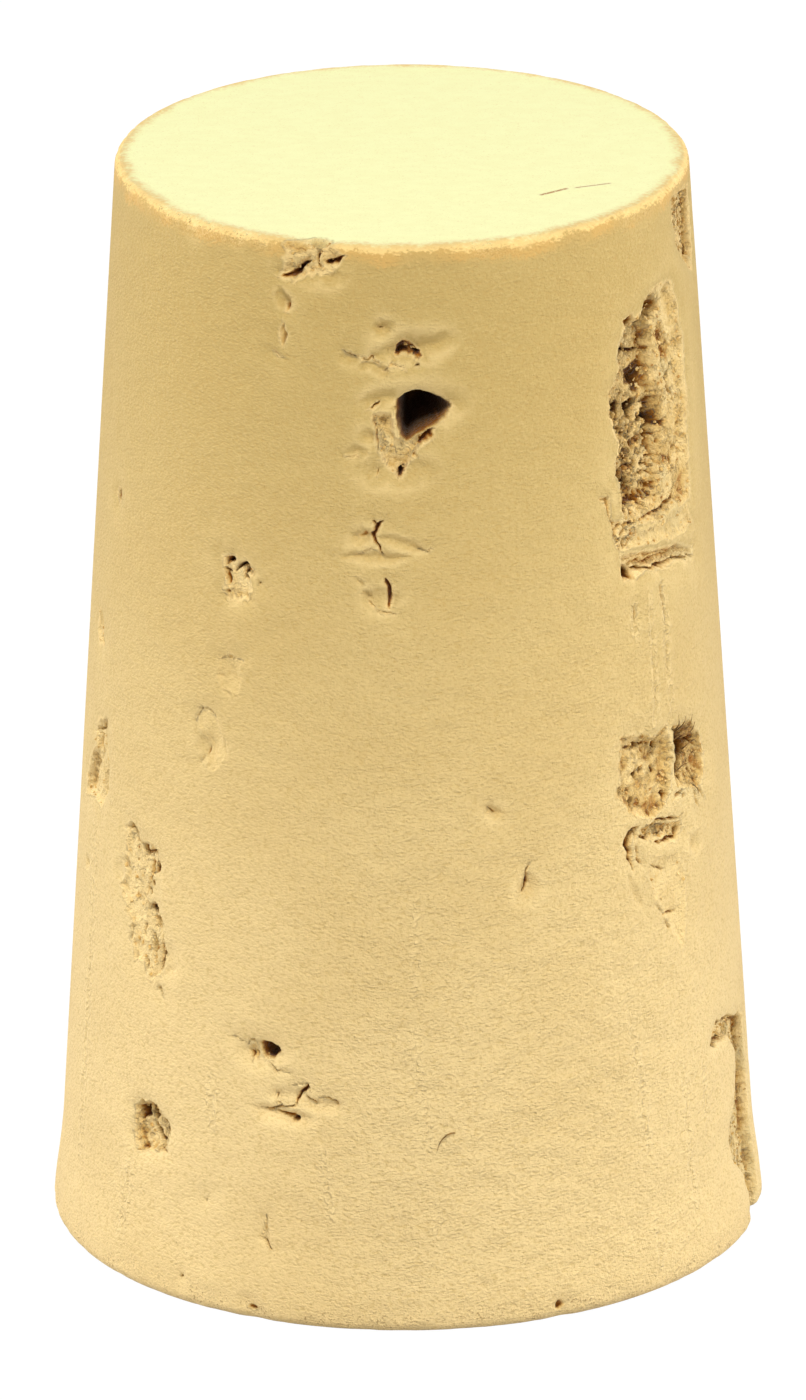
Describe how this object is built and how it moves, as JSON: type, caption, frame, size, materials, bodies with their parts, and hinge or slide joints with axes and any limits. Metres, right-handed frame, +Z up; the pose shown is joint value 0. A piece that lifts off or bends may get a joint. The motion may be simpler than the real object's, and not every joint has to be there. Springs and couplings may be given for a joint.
{
  "type": "tapered cork stopper",
  "caption": "Tapered stopper of natural cork that plugs the neck of a bottle, flask or tube, with open bark pores in its turned side.",
  "frame": {"origin": "centre of the wide end's flat face, which the stopper stands on", "axes": "+Z up the stopper's axis towards the narrow end, -Y towards the front as pictured, +X to the right of it"},
  "size_m": [0.0224, 0.0224, 0.035],
  "materials": {
    "cork": "natural cork, dry and matt, pale buff skin with brown open pores and paler yellow cut ends"
  },
  "bodies": {
    "root": {"stopper": "cork"}
  },
  "joints": []
}
